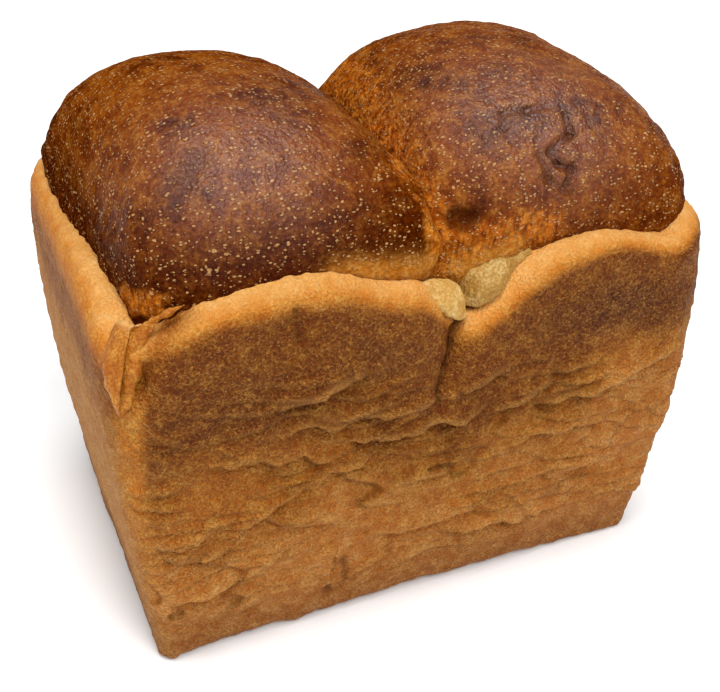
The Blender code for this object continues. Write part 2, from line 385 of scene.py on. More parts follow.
def outline(station):
    """Eight stretches round the tin from the front left: straight, corner, straight and so on.

    Gives the side of the inner rectangle that a point belongs to and the angle that it faces.
    """
    knots = np.arange(9)
    side_x = np.interp(station, knots, (-1, 1, 1, 1, 1, -1, -1, -1, -1))
    side_y = np.interp(station, knots, (-1, -1, -1, 1, 1, 1, 1, -1, -1))
    facing = np.radians(np.interp(station, knots, (-90, -90, 0, 0, 90, 90, 180, 180, 270)))
    return side_x, side_y, facing


def wall_point(sizes, station, height, inset):
    """Place on the tapered, bulging wall at a height, moved inward by an inset."""
    side_x, side_y, facing = outline(station)
    rise = np.clip(height / sizes.rim_height, 0, 1)
    corner = sizes.base_corner + (sizes.rim_corner - sizes.base_corner) * rise**1.5
    grow = sizes.bulge * np.sin(np.pi * rise**1.3) - sizes.taper * (1 - rise)
    x = side_x * (sizes.length / 2 + grow - corner) + (corner - inset) * np.cos(facing)
    y = side_y * (sizes.depth / 2 + grow - corner) + (corner - inset) * np.sin(facing)
    return x, y


def rim_crest(sizes, x, y):
    """Height of the rim's top over a point of the rim's outline."""
    front = np.exp(-(((y + sizes.depth / 2) / EDGE_FADE) ** 2))
    back = np.exp(-(((y - sizes.depth / 2) / EDGE_FADE) ** 2))
    reach = np.where(x < SEAM_X, SEAM_REACH["left"], SEAM_REACH["right"])
    seam = np.exp(-(((x - SEAM_X) / reach) ** 2))
    lift = np.where(x < SEAM_X, FRONT_LIFT, 0) * front * (1 - seam)
    crest = sizes.rim_height - SEAM_DROP * seam * (front + BACK_SEAM_SHARE * back) + lift
    for middle_x, middle_y, dip, spread in np.array(RIM_DIPS) * MM:
        away = (x - middle_x) ** 2 + (y - middle_y) ** 2
        crest = crest - dip * np.exp(-away / spread**2)
    return crest


def ledges(points, folds):
    """Folds as ledges: the crust swells above each line and tucks in sharply below it.

    Each line wanders by soft noise. Gives how far the crust moves out, painted shade under each line and
    painted highlight just above it.
    """
    x, z = points[..., 0], points[..., 2]
    push, crease_shade, lip_highlight = np.zeros((3, *x.shape))
    for index, (start_x, start_z, end_x, end_z, sag, depth) in enumerate(np.array(folds) * MM):
        along = (x - start_x) / (end_x - start_x)
        inside = np.clip(4 * along * (1 - along), 0, 1)
        across = np.stack([x, 0 * x + index * 0.1, 0 * x], axis=-1)
        wander = 1.6 * MM * layered_noise(across, 9 * MM, 3, 40)
        above = z - (start_z + (end_z - start_z) * along + sag * inside + wander)
        fall = np.where(above > 0, LEDGE_ABOVE, LEDGE_BELOW)
        taper = np.sqrt(inside)
        push += depth * taper * np.tanh(above / LEDGE_TURN) * np.exp(-np.abs(above) / fall)
        # Painted shade in a thin line under the fold, and painted highlight on its upper edge just above
        crease_shade += depth / (2 * MM) * taper * np.exp(-(((above + 0.6 * MM) / (0.8 * MM)) ** 2))
        lip_highlight += depth / (2 * MM) * taper * np.exp(-(((above - 1.6 * MM) / (1.2 * MM)) ** 2))
    return push, crease_shade, lip_highlight


def slack_folds(points, spacing, seed):
    """Broken rows of small ledges, as slack skin makes.

    The height, warped by noise and divided by the spacing, wraps into teeth that drop sharply and
    rise slowly. A second noise leaves them in patches.
    """
    stretched = points * (0.45, 0.45, 1)
    warp = layered_noise(stretched, 22 * MM, 3, seed)
    lean = soft_noise(stretched, 60 * MM, seed + 3)
    phase = points[..., 2] / spacing + 1.5 * warp + lean * points[..., 0] / (28 * MM)
    tooth = phase - np.floor(phase)
    push = (1 - tooth) ** 1.5 * fade(tooth, 0, 0.08) - 0.3
    patch = fade(soft_noise(points * (0.6, 0.6, 1), 14 * MM, seed + 5), -0.5, 0.3)
    # Painted shade at the sharp drop of each tooth, and painted highlight just above it
    crease_shade = fade(tooth, 0.86, 0.97) + fade(-tooth, -0.06, 0)
    lip_highlight = np.exp(-(((tooth - 0.16) / 0.1) ** 2))
    return push * patch, crease_shade * patch, lip_highlight * patch


def distance_to_line(points, start, end):
    """Distance in metres to the line between two ends that are given in mm."""
    start, end = np.array(start) * MM, np.array(end) * MM
    run = end - start
    share = np.clip((points - start) @ run / (run @ run), 0, 1)
    return np.linalg.norm(points - start - share[..., None] * run, axis=-1)


def bell(distance, reach):
    """1 at no distance, falling to about a third at the reach, which is in mm."""
    return np.exp(-((distance / (reach * MM)) ** 2))


def pinch(points, lines):
    """Depth of the pinches: each fades with distance from the line between its two ends."""
    depth = np.zeros(points.shape[:-1])
    for start, end, reach, most in lines:
        depth += most * MM * bell(distance_to_line(points, start, end), reach)
    return depth


def nearness(points, paths):
    """1 on the nearest path, falling with distance as a bell whose reach is given with each path."""
    fields = []
    for knots, reach in paths:
        runs = [distance_to_line(points, start, end) for start, end in zip(knots[:-1], knots[1:])]
        fields.append(bell(np.min(runs, axis=0), reach))
    return np.max(fields, axis=0)


def surface_normals(points, wraps):
    """Outward unit normals of a grid: the cross product of its steps along the columns and the rows."""
    if wraps:
        along = np.roll(points, -1, axis=1) - np.roll(points, 1, axis=1)
    else:
        along = np.gradient(points, axis=1)
    normals = np.cross(along, np.gradient(points, axis=0))
    return normals / np.maximum(np.linalg.norm(normals, axis=-1, keepdims=True), 1e-12)


def wall_surface(sizes):
    """Grid of the walls: rounded base edge, wall, rim rolled over by 150 degrees, then the well.

    Rows go up the profile and columns round the tin. Gives the points, the way that each faces,
    and its drop below the rim's crest, which is measured over the roll as well.
    """
    station = np.concatenate(
        [np.linspace(k, k + 1, n, endpoint=False) for k, n in enumerate(WALL_COLUMNS)]
    )[None]
    facing = outline(station)[2]
    rim_x, rim_y = wall_point(sizes, station, sizes.rim_height, 0)
    crest = rim_crest(sizes, rim_x, rim_y)
    shoulder = crest - sizes.rim_roll
    row = np.stack([rim_x, rim_y, 0 * rim_x], axis=-1)
    lift = np.clip(-np.sin(facing), 0, 1) ** 4 * fade(-np.abs(rim_x + 10 * MM), -0.085, -0.04)
    edge = 3 * MM + lift * 3 * MM + MM * layered_noise(row, 12 * MM, 3, 3)
    bend = np.linspace(0, np.pi / 2, EDGE_ROWS + 1)[:, None]
    share = np.linspace(0, 1, WALL_ROWS + 1)[1:, None]
    turn = np.linspace(0, ROLL_TURN, ROLL_ROWS + 1)[1:, None]
    insets = np.concatenate(
        [edge * (1 - np.sin(bend)), 0 * share + 0 * crest, sizes.rim_roll * (1 - np.cos(turn)) + 0 * crest]
    )
    walls = np.concatenate(
        [edge * (1 - np.cos(bend)), edge + (shoulder - edge) * share, shoulder + 0 * turn]
    )
    heights = walls.copy()
    heights[-ROLL_ROWS:] += sizes.rim_roll * np.sin(turn)
    x, y = wall_point(sizes, station, walls, insets)
    points = np.stack([x, y, heights], axis=-1)
    drop = np.concatenate([(crest - walls)[:-ROLL_ROWS], sizes.rim_roll * (1 - np.sin(turn)) + 0 * crest])
    return points, facing + 0 * x, drop


def dressed_walls(sizes):
    """The walls with folds, seams, lips and grain, and the masks that their material reads."""
    base, facing, drop = wall_surface(sizes)
    outward = np.stack([np.cos(facing), np.sin(facing), 0 * facing], axis=-1)
    front, back, left, right = [
        np.clip(side, 0, 1) ** 2
        for side in (-np.sin(facing), np.sin(facing), -np.cos(facing), np.cos(facing))
    ]
    x, z = base[..., 0], base[..., 2]
    front_folds, back_folds = ledges(base, FRONT_FOLDS), ledges(base, BACK_FOLDS)
    push, crease_shade, lip_highlight = [a * front + b * back for a, b in zip(front_folds, back_folds)]
    push *= FOLD_GAIN
    share = (1 - 0.95 * (left + right)) * fade(drop, 16 * MM, 40 * MM) * fade(z, 4 * MM, 22 * MM)
    for spacing, depth, seed in ((10 * MM, 2.2 * MM, 60), (5.5 * MM, 1.0 * MM, 80)):
        slack, slack_crease_shade, slack_lip_highlight = slack_folds(base, spacing, seed)
        push += depth * slack * share
        crease_shade += 0.42 * slack_crease_shade * share
        lip_highlight += 0.5 * slack_lip_highlight * share
    shaded_groove = pinch(base, GROOVES)
    push -= pinch(base, PINCHES) + shaded_groove
    marks = pinch(base * (1, 0, 1), FRONT_MARKS) * front
    push -= marks
    # The seam, dent and hole of the front marks also get painted shade
    crease_shade += np.clip(marks / (1.4 * MM), 0, 0.8)
    points = base + outward * (push * sizes.fold_strength)[..., None]
    normals = surface_normals(points, wraps=True)
    on_rim = fade(-drop, -14 * MM, -2 * MM)
    stripes = layered_noise(base * (1, 1, 0) + drop[..., None] * 0.12, 2.6 * MM, 2, 7)
    rough = 0.22 * MM * stripes * on_rim
    rough += 0.6 * MM * soft_noise(base, 22 * MM, 4) * (1 - 0.5 * left)
    rough += 0.38 * MM * layered_noise(base, 9 * MM, 3, 5) * (1 - 0.5 * left)
    rough += 0.22 * MM * layered_noise(base, 2.6 * MM, 2, 9)
    lumps, number = nearest_dot(base, 4 * MM, 21)
    rough += 0.25 * MM * (number > 0.6) * np.clip(1 - (lumps / 0.6) ** 2, 0, 1) * fade(drop, 4 * MM, 30 * MM)
    low = fade(z, 0, 1 * MM)[..., None]
    points = points + normals * rough[..., None] * low
    points[..., 2] = np.maximum(points[..., 2], 0)
    shade = np.zeros_like(z)
    for middle_x, middle_z, reach_x, reach_z, depth in SHADED_PANELS:
        away = ((x / MM - middle_x) / reach_x) ** 2 + ((z / MM - middle_z) / reach_z) ** 2
        shade += depth * np.exp(-away)
    ridge = np.clip(-np.sin(facing), 0, 1) * np.clip(-np.cos(facing), 0, 1)
    masks = dict(
        drop=drop * (1 + 0.8 * front * fade(x, 42 * MM, 70 * MM)),
        # The next two are painted shade under the folds and in the dents, and painted highlight on the upper
        # edges of the folds
        crease_shade=np.clip(crease_shade, 0, 1),
        lip_highlight=np.clip(lip_highlight, 0, 1),
        left=left,
        shade=shade * front * fade(drop, 8 * MM, 18 * MM) + 0.42 * fade(-z, -30 * MM, -2 * MM),
        corner=fade(ridge, 0.36, 0.5) * fade(drop, 6 * MM, 22 * MM) * fade(z, 40 * MM, 75 * MM),
        # Painted shade in the groove beside the corner's skin
        shaded_groove=np.clip(shaded_groove / (4 * MM), 0, 1),
        stripes=stripes * on_rim,
    )
    well = points[-1:] * (WELL_SHRINK, WELL_SHRINK, 1) + (0, 0, WELL_RISE)
    points = np.concatenate([points, well])
    return points, {name: np.concatenate([mask, mask[-1:]]) for name, mask in masks.items()}


def disc_of_square(side):
    """Polar places for a square grid, whose square rings become round ones, with even cells and no pole.

    A cell's radius is the larger of its two coordinates, and its angle is their ratio times 45 degrees.
    """
    across, up = np.meshgrid(np.linspace(-1, 1, side), np.linspace(-1, 1, side))
    wide = np.abs(across) > np.abs(up)
    radius = np.where(wide, across, up)
    other = np.where(wide, up, across)
    ratio = np.divide(other, radius, out=np.zeros_like(other), where=radius != 0)
    angle = np.where(wide, np.pi / 4 * ratio, np.pi / 2 - np.pi / 4 * ratio)
    return np.abs(radius), np.where(radius < 0, angle + np.pi, angle)


def mound_surface(
    sizes, side, centre, outward, inward, front, back, foot, height, drift, lean, corners, ease
):
    """Grid of a mound, from its crown in the middle to its tucked foot at the edges.

    Each ring is a squarish outline. Going up, it shrinks as a power of a cosine, rises as a
    power of a sine and eases into an ellipse.
    """
    radius, around = disc_of_square(MOUND_SIDE)
    c, s = np.cos(around), np.sin(around)
    power = np.interp(around % (2 * np.pi), np.radians([45, 135, 225, 315]), corners, period=2 * np.pi)
    squarish = (np.abs(c) ** power + np.abs(s) ** power) ** (-1 / power)
    tilt = np.pi / 2 - radius * (np.pi / 2 - MOUND_FOOT)
    round_off = np.maximum(np.sin(tilt), 0) ** ease
    spread = (squarish * (1 - round_off) + round_off) * np.maximum(np.cos(tilt), 0) ** MOUND_SWELL
    rise = height * np.sign(tilt) * np.abs(np.sin(tilt)) ** MOUND_SWELL
    y = spread * s * np.where(s < 0, front, back)
    x = centre + spread * c * np.where(c * side > 0, outward, inward) + drift * round_off - lean * y
    points = np.stack([x, y, sizes.rim_height / MM + foot + rise], axis=-1) * MM
    middle = np.array([centre * MM, 0, sizes.rim_height])
    line = points - middle
    line /= np.linalg.norm(line, axis=-1, keepdims=True)
    return points - line * pinch(points, MOUND_PINCHES)[..., None]


def dressed_mound(sizes, name, shape, seed):
    """A mound with its scars, lumps and blisters, and the masks that its material reads."""
    base = mound_surface(sizes, **shape)
    normals = surface_normals(base, wraps=False)
    over_rim = base[..., 2] - sizes.rim_height
    low_front = fade(-over_rim, -30 * MM, -6 * MM)
    # The low part of each mound is painted darker: fully on the left mound, by 0.3 on the right one
    low_darkening = low_front * (1.0 if name == "left" else 0.3)
    marks = pinch(base, MOUND_MARKS)
    # Painted shadow along the foot where the mound tucks in behind the front rim
    over_front = base[..., 2] - rim_crest(sizes, base[..., 0], -sizes.depth / 2)
    tucked = fade(-over_front, -1.2 * MM, 1.8 * MM) * fade(-base[..., 1], 25 * MM, 40 * MM)
    rough = 0.7 * MM * layered_noise(base, 26 * MM, 3, seed)
    rough += 0.28 * MM * layered_noise(base, 8 * MM, 3, seed + 2)
    rough += 0.14 * MM * layered_noise(base, 2.4 * MM, 2, seed + 4)
    rough += 0.6 * MM * low_front * layered_noise(base * (1, 1, 0.7), 5 * MM, 3, seed + 6)
    for size, share, height in ((6 * MM, 0.3, 1.0), (3.2 * MM, 0.4, 0.5)):
        away, number = nearest_dot(base, size, seed + int(size / MM))
        dome = np.clip(1 - (away / 0.42) ** 2, 0, 1) * (number < share)
        rough += sizes.blister_height * height * dome * (0.35 + 0.65 * low_front)
    points = base + normals * (rough - marks)[..., None]
    masks = dict(
        gold=nearness(base, GOLD_PATHS[name]),
        membrane=nearness(base, MEMBRANE_PATHS[name]),
        sheen=nearness(base, SHEENS[name]),
        # Painted shade in the dents of the marks and along the tucked foot
        crease_shade=np.clip(marks / (1.5 * MM) + tucked, 0, 1),
        low_darkening=low_darkening,
    )
    return points, masks


def curve(knots, share):
    """Smooth curve through evenly spaced knots: cubic between two, with slopes from their neighbours."""
    knots = np.array(knots, float)
    slopes = np.gradient(knots, axis=0)
    low = np.minimum((share * (len(knots) - 1)).astype(int), len(knots) - 2)
    t = (share * (len(knots) - 1) - low)[:, None]
    start, end = knots[low], knots[low + 1]
    bend = (t**3 - 2 * t**2 + t) * slopes[low] + (t**3 - t**2) * slopes[low + 1]
    return start + (3 * t**2 - 2 * t**3) * (end - start) + bend


def skin_surface(knots, columns, rows):
    """Rings of a skin between two smooth edges, closing to a tip at each end.

    Each ring is an ellipse: one radius reaches from the middle to the upper edge, and the other
    one is the thickness, square to it. Gives the points and how near each is to the upper edge.
    """
    share = np.linspace(0.003, 0.997, rows)
    path = curve(knots, share)
    middle, reach = (path[:, :3] + path[:, 3:6]) / 2, (path[:, :3] - path[:, 3:6]) / 2
    through = np.cross(np.gradient(middle, axis=0), reach)
    through /= np.linalg.norm(through, axis=1, keepdims=True)
    around = np.linspace(0, 2 * np.pi, columns, endpoint=False)[None, :, None]
    closing = (4 * share * (1 - share))[:, None] ** 0.4
    tall = (reach * closing**0.5)[:, None] * np.sin(around)
    thick = (through * path[:, 6:] * closing)[:, None] * np.cos(around)
    edge = fade(np.sin(around[..., 0]), 0.8, 0.97) + 0 * share[:, None]
    return (middle[:, None] + tall + thick) * MM, edge


# Meshes


def ring_faces(rows, columns):
    """Quads between neighbouring rings that close on themselves, and a cap for each end."""
    here = np.arange(columns)
    after = (here + 1) % columns
    low = np.arange(rows - 1)[:, None] * columns
    quads = np.stack([low + here, low + after, low + columns + after, low + columns + here], axis=-1)
    return quads.reshape(-1, 4), [here[::-1], (rows - 1) * columns + here]


def sheet_faces(side):
    """Quads of a square grid, and one face that closes its border from below."""
    index = np.arange(side * side).reshape(side, side)
    quads = np.stack([index[:-1, :-1], index[:-1, 1:], index[1:, 1:], index[1:, :-1]], axis=-1)
    border = np.concatenate([index[0, :-1], index[:-1, -1], index[-1, :0:-1], index[:0:-1, 0]])
    return quads.reshape(-1, 4), [border[::-1]]


def put_mesh(name, points, faces, masks, material):
    """A smooth closed mesh from arrays, with one number for each vertex under each mask's name."""
    quads, caps = faces
    corners = np.concatenate([quads.ravel(), *caps]).astype(np.int32)
    counts = np.concatenate([np.full(len(quads), 4), [len(cap) for cap in caps]])
    starts = np.concatenate([[0], np.cumsum(counts)[:-1]]).astype(np.int32)
    mesh = bpy.data.meshes.new(name)
    mesh.vertices.add(points.size // 3)
    mesh.vertices.foreach_set("co", points.astype(np.float32).ravel())
    mesh.loops.add(len(corners))
    mesh.loops.foreach_set("vertex_index", corners)
    mesh.polygons.add(len(starts))
    mesh.polygons.foreach_set("loop_start", starts)
    mesh.update(calc_edges=True)
    if mesh.validate():
        raise RuntimeError(f"{name} had faces that Blender had to mend")
    for mask, values in masks.items():
        layer = mesh.attributes.new(mask, "FLOAT", "POINT")
        layer.data.foreach_set("value", values.astype(np.float32).ravel())
    mesh.shade_smooth()
    mesh.materials.append(material)
    obj = bpy.data.objects.new(name, mesh)
    bpy.context.scene.collection.objects.link(obj)
    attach(obj, "root")
    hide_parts("loaf")
    return obj


# Materials


def opaque(colour):
    """A colour with full opacity."""
    return (*colour[:3], 1.0)


def node(tree, kind, inputs=None, stops=None, **settings):
    """Adds a node: settings are its properties, and an input is linked if it is a socket, or else set.

    stops are the places and colours of a colour ramp. A colour of three numbers is opaque.
    """
    made = tree.nodes.new(kind)
    for key, value in settings.items():
        setattr(made, key, value)
    for key, value in (inputs or {}).items():
        if isinstance(value, bpy.types.NodeSocket):
            tree.links.new(value, made.inputs[key])
        else:
            made.inputs[key].default_value = value
    if stops:
        elements = made.color_ramp.elements
        while len(elements) < len(stops):
            elements.new(1.0)
        for element, (place, colour) in zip(elements, stops):
            element.position = place
            element.color = opaque(colour)
    return made


def new_material(name, roughness):
    """An empty Principled material. Gives its node tree, its shader and its Object coordinates."""
    material = bpy.data.materials.new(name)
    material.use_nodes = True
    tree = material.node_tree
    shader = tree.nodes["Principled BSDF"]
    shader.inputs["Roughness"].default_value = roughness
    shader.inputs["IOR"].default_value = 1.45
    place = node(tree, "ShaderNodeTexCoord").outputs["Object"]
    return material, tree, shader, place


def per_metre(millimetres):
    """Texture scale whose pattern repeats about once in this many millimetres."""
    return 1 / (millimetres * MM)


def read_masks(tree, *names):
    """The mesh's own numbers under these names, as sockets."""
    return {name: node(tree, "ShaderNodeAttribute", attribute_name=name).outputs["Fac"] for name in names}


def noise_fields(tree, place, **sizes):
    """Noise from 0 to 1 under each name, for a size in mm and a number of finer layers."""
    return {
        name: node(
            tree, "ShaderNodeTexNoise", {"Vector": place, "Scale": per_metre(size), "Detail": detail}
        ).outputs["Fac"]
        for name, (size, detail) in sizes.items()
    }


def tone_of(tree, *parts):
    """Product of fields, each first spread from its usual range to its own two ends."""
    product = 1.0
    for field, low, high in parts:
        spread = node(
            tree,
            "ShaderNodeMapRange",
            {"Value": field, "From Min": 0.38, "From Max": 0.62, "To Min": low, "To Max": high},
        ).outputs[0]
        product = node(tree, "ShaderNodeMath", {0: product, 1: spread}, operation="MULTIPLY").outputs[0]
    return product


def cover(tree, colour, layers):
    """A colour with others laid over it in turn, each by its mask times its share."""
    for mask, share, over in layers:
        amount = node(tree, "ShaderNodeMath", {0: mask, 1: share}, operation="MULTIPLY", use_clamp=True)
        over = over if isinstance(over, bpy.types.NodeSocket) else opaque(over)
        inputs = {"Factor": amount.outputs[0], "A": colour, "B": over}
        colour = node(tree, "ShaderNodeMix", inputs, data_type="RGBA").outputs["Result"]
    return colour


def worm_lines(tree, place, millimetres):
    """Thin winding lines, 1 on the line and 0 off it, where a noise of this size passes its middle."""
    field = noise_fields(tree, place, worms=(millimetres, 1.5))["worms"]
    away = node(tree, "ShaderNodeMath", {0: field, 1: 0.5}, operation="SUBTRACT").outputs[0]
    size = node(tree, "ShaderNodeMath", {0: away}, operation="ABSOLUTE").outputs[0]
    return node(tree, "ShaderNodeMapRange", {"Value": size, "From Min": 0.07, "From Max": 0.0}).outputs[0]


def speckles(tree, place, stretch, layers):
    """Scattered specks, 1 inside and 0 outside, and the thin halo round them.

    Each layer has a spacing in mm, the share left out, and the largest radius as a share of the
    spacing. Their places are warped by noise, so that no two have the same outline.
    """
    wobble = node(
        tree, "ShaderNodeTexNoise", {"Vector": place, "Scale": per_metre(1.3), "Detail": 1.0}
    ).outputs["Color"]
    inside, halo = 0.0, 0.0
    for millimetres, fewest, radius in layers:
        sway = (0.8 * millimetres * MM,) * 3
        bent = node(tree, "ShaderNodeVectorMath", {0: wobble, 1: sway, 2: place}, operation="MULTIPLY_ADD")
        moved = node(
            tree, "ShaderNodeVectorMath", {0: bent.outputs["Vector"], 1: stretch}, operation="MULTIPLY"
        ).outputs["Vector"]
        dots = node(tree, "ShaderNodeTexVoronoi", {"Vector": moved, "Scale": per_metre(millimetres)})
        number = node(tree, "ShaderNodeSeparateColor", {"Color": dots.outputs["Color"]}).outputs["Red"]
        kept = node(
            tree,
            "ShaderNodeMapRange",
            {"Value": number, "From Min": fewest, "From Max": 1.0, "To Max": radius},
        ).outputs[0]
        depth = node(
            tree, "ShaderNodeMath", {0: kept, 1: dots.outputs["Distance"]}, operation="SUBTRACT"
        ).outputs[0]
        spot = node(tree, "ShaderNodeMapRange", {"Value": depth, "From Max": 0.1}).outputs[0]
        edge = {"Value": depth, "From Min": -0.16, "From Max": 0.0}
        ring = node(tree, "ShaderNodeMapRange", edge).outputs[0]
        inside = node(tree, "ShaderNodeMath", {0: inside, 1: spot}, operation="MAXIMUM").outputs[0]
        halo = node(tree, "ShaderNodeMath", {0: halo, 1: ring}, operation="MAXIMUM").outputs[0]
    return inside, halo


def finish(tree, shader, colour, tone, layers, height, depth_mm, strength=1.0):
    """Links a toned colour with its top layers, and relief from a height field, to the shader.

    A tone under 1 raises the colour to a power over 1, so that it gets darker and redder, as crust does.
    """
    power = node(
        tree,
        "ShaderNodeMapRange",
        {"Value": tone, "From Min": 0.5, "From Max": 1.6, "To Min": 1.4, "To Max": 0.62},
    ).outputs[0]
    toned = node(tree, "ShaderNodeGamma", {"Color": colour, "Gamma": power}).outputs["Color"]
    bump = node(tree, "ShaderNodeBump", {"Height": height, "Strength": strength, "Distance": depth_mm * MM})
    tree.links.new(cover(tree, toned, layers), shader.inputs["Base Color"])
    tree.links.new(bump.outputs["Normal"], shader.inputs["Normal"])


def wall_crust(colours):
    """Bread crust baked against tin: the pale golden rim browns down the wall, with painted shade in the
    folds.

    A tin keeps the crust thin and leathery, so the eye sees fine worm-like crinkles about 1 mm
    wide with light tips and flecks, over broad patches of brown. Those light tips are painted highlight.
    """
    material, tree, shader, place = new_material("tin_baked_wall_crust", 0.6)
    shader.inputs["Specular IOR Level"].default_value = 0.15
    masks = read_masks(tree, "drop", "left", "shade", "corner", "shaded_groove", "lip_highlight", "crease_shade", "stripes")
    fields = noise_fields(tree, place, patches=(26, 4.0), mottle=(5, 3.0), grain=(0.9, 2.0))
    crinkle = worm_lines(tree, place, 1.7)
    flecks = speckles(tree, place, (1.0, 1.0, 1.4), ((1.1, 0.25, 0.42),))[0]
    uneven = node(
        tree,
        "ShaderNodeMapRange",
        {"Value": fields["patches"], "From Min": 0.2, "From Max": 0.8, "To Min": 0.7, "To Max": 1.3},
    ).outputs[0]
    depth = node(tree, "ShaderNodeMath", {0: masks["drop"], 1: uneven}, operation="MULTIPLY").outputs[0]
    share = node(tree, "ShaderNodeMapRange", {"Value": depth, "From Max": 0.13}).outputs[0]
    front = node(
        tree,
        "ShaderNodeValToRGB",
        {"Fac": share},
        stops=(
            (0.0, colours.rim_pale), (0.03, colours.rim_gold), (0.06, colours.wall_band),
            (0.3, colours.wall_band), (0.46, colours.wall_brown), (0.75, colours.wall_tan),
        ),
    ).outputs["Color"]
    end = node(
        tree,
        "ShaderNodeValToRGB",
        {"Fac": share},
        stops=(
            (0.0, colours.rim_pale), (0.02, colours.rim_gold), (0.06, colours.end_gold),
            (0.11, colours.end_brown), (0.15, colours.end_brown), (0.28, colours.end_tan),
            (0.85, colours.end_tan), (1.0, colours.wall_brown),
        ),
    ).outputs["Color"]
    colour = cover(
        tree,
        front,
        (
            (masks["left"], 1.0, end),
            (masks["shade"], 1.0, colours.fold_shade_and_dark_patch),
            (masks["corner"], 0.9, colours.rim_gold),
            # Painted shade in the groove
            (masks["shaded_groove"], 1.0, colours.shaded_groove),
        ),
    )
    # The crinkle lines are lightened here as painted highlight
    tone = tone_of(tree, (fields["grain"], 0.78, 1.2), (fields["mottle"], 0.8, 1.2), (crinkle, 0.95, 1.12))
    tone = node(
        tree, "ShaderNodeMath", {0: masks["stripes"], 1: 0.12, 2: tone}, operation="MULTIPLY_ADD"
    ).outputs[0]
    calm = node(  # the crest of the rim is smoother than the wall
        tree,
        "ShaderNodeMapRange",
        {"Value": masks["drop"], "From Min": 2 * MM, "From Max": 9 * MM, "To Min": 0.6},
    ).outputs[0]
    tone = node(tree, "ShaderNodeMix", {"Factor": calm, "A": 1.0, "B": tone}).outputs["Result"]
    height = node(
        tree, "ShaderNodeMath", {0: crinkle, 1: 0.2, 2: fields["grain"]}, operation="MULTIPLY_ADD"
    ).outputs[0]
    # The lighter crinkle lines and fold lips are painted highlight, and the darker fold lines and dents are
    # painted shade
    layers = (
        (crinkle, 0.26, colours.fleck_and_crinkle_highlight),
        (flecks, 0.5, colours.fleck_and_crinkle_highlight),
        (masks["lip_highlight"], 0.4, colours.fold_highlight),
        (masks["crease_shade"], 0.85, colours.fold_shade_and_dark_patch),
    )
    finish(tree, shader, colour, tone, layers, height, 2.1, calm)
    return material


def mound_crust(colours):
    """Risen crust baked in the open: dark chestnut, glossy in a soft way, peppered with pale blisters.

    The blisters are 0.4 to 1 mm dots, closely set, and a few larger ones. The sides of the valley
    stayed covered while the mounds rose, so they are orange gold and fibrous.
    """
    material, tree, shader, place = new_material("open_baked_mound_crust", 0.36)
    masks = read_masks(tree, "gold", "membrane", "sheen", "crease_shade", "low_darkening")
    fields = noise_fields(tree, place, patches=(16, 5.0), mottle=(4, 4.0), grain=(1.1, 3.0))
    along = node(tree, "ShaderNodeVectorMath", {0: place, 1: (1.0, 1.0, 0.35)}, operation="MULTIPLY")
    fibres = noise_fields(tree, along.outputs["Vector"], fibres=(1.4, 3.0))["fibres"]
    dots = ((0.85, 0.0, 0.48), (1.7, 0.5, 0.34), (4.0, 0.75, 0.26))
    specks, halo = speckles(tree, place, (0.6, 1.0, 1.0), dots)
    brown = node(
        tree,
        "ShaderNodeValToRGB",
        {"Fac": fields["patches"]},
        stops=((0.25, colours.mound_dark_and_shade), (0.48, colours.mound_brown), (0.75, colours.mound_light)),
    ).outputs["Color"]
    gold = node(
        tree,
        "ShaderNodeValToRGB",
        {"Fac": fibres},
        stops=((0.36, colours.valley_dark), (0.64, colours.valley_gold)),
    ).outputs["Color"]
    fringe = node(
        tree, "ShaderNodeMath", {0: fields["mottle"], 1: 0.9, 2: masks["gold"]}, operation="MULTIPLY_ADD"
    ).outputs[0]
    golden = node(tree, "ShaderNodeMapRange", {"Value": fringe, "From Min": 0.8, "From Max": 1.3}).outputs[0]
    colour = cover(
        tree,
        brown,
        (
            # Darker low part of each mound
            (masks["low_darkening"], 0.95, colours.mound_dark_and_shade),
            (golden, 1.0, gold),
            (masks["membrane"], 0.95, colours.membrane),
        ),
    )
    tone = tone_of(tree, (fields["grain"], 0.82, 1.2), (fields["mottle"], 0.82, 1.18))
    tone = node(tree, "ShaderNodeMath", {0: halo, 1: -0.2, 2: tone}, operation="MULTIPLY_ADD").outputs[0]
    height = node(
        tree, "ShaderNodeMath", {0: fields["mottle"], 1: 1.5, 2: fields["grain"]}, operation="MULTIPLY_ADD"
    ).outputs[0]
    height = node(
        tree, "ShaderNodeMath", {0: specks, 1: 0.5, 2: height}, operation="MULTIPLY_ADD"
    ).outputs[0]
    tree.links.new(masks["sheen"], shader.inputs["Specular IOR Level"])
    # Painted shade in the dents and along the tucked foot
    layers = ((specks, 0.74, colours.blister), (masks["crease_shade"], 0.7, colours.mound_dark_and_shade))
    finish(tree, shader, colour, tone, layers, height, 1.0)
    return material


def stretched_skin(name, colour, pale):
    """Skin of dough that tore late and hardly baked: pale, moist and a little see-through."""
    material, tree, shader, place = new_material(name, 0.45)
    shader.inputs["Specular IOR Level"].default_value = 0.25
    fields = noise_fields(tree, place, cloud=(5, 5.0), grain=(0.8, 2.0))
    edge = read_masks(tree, "edge")["edge"]
    tone = tone_of(tree, (fields["cloud"], 0.8, 1.2), (fields["grain"], 0.8, 1.3))
    shader.inputs["Subsurface Weight"].default_value = 0.15
    shader.inputs["Subsurface Radius"].default_value = (1.0, 0.6, 0.3)
    shader.inputs["Subsurface Scale"].default_value = 0.002
    finish(tree, shader, opaque(colour), tone, ((edge, 0.8, pale),), fields["grain"], 0.5)
    return material


# Operators


class LOAF_OT_walls(Operator):
    """Builds the walls with their folds and the rolled rim"""

    bl_idname = "loaf.walls"
    bl_label = "Walls and rim"

    def execute(self, context):
        points, masks = dressed_walls(context.scene.loaf_sizes)
        faces = ring_faces(*points.shape[:2])
        put_mesh("loaf_walls", points, faces, masks, wall_crust(context.scene.loaf_colours))
        return {"FINISHED"}


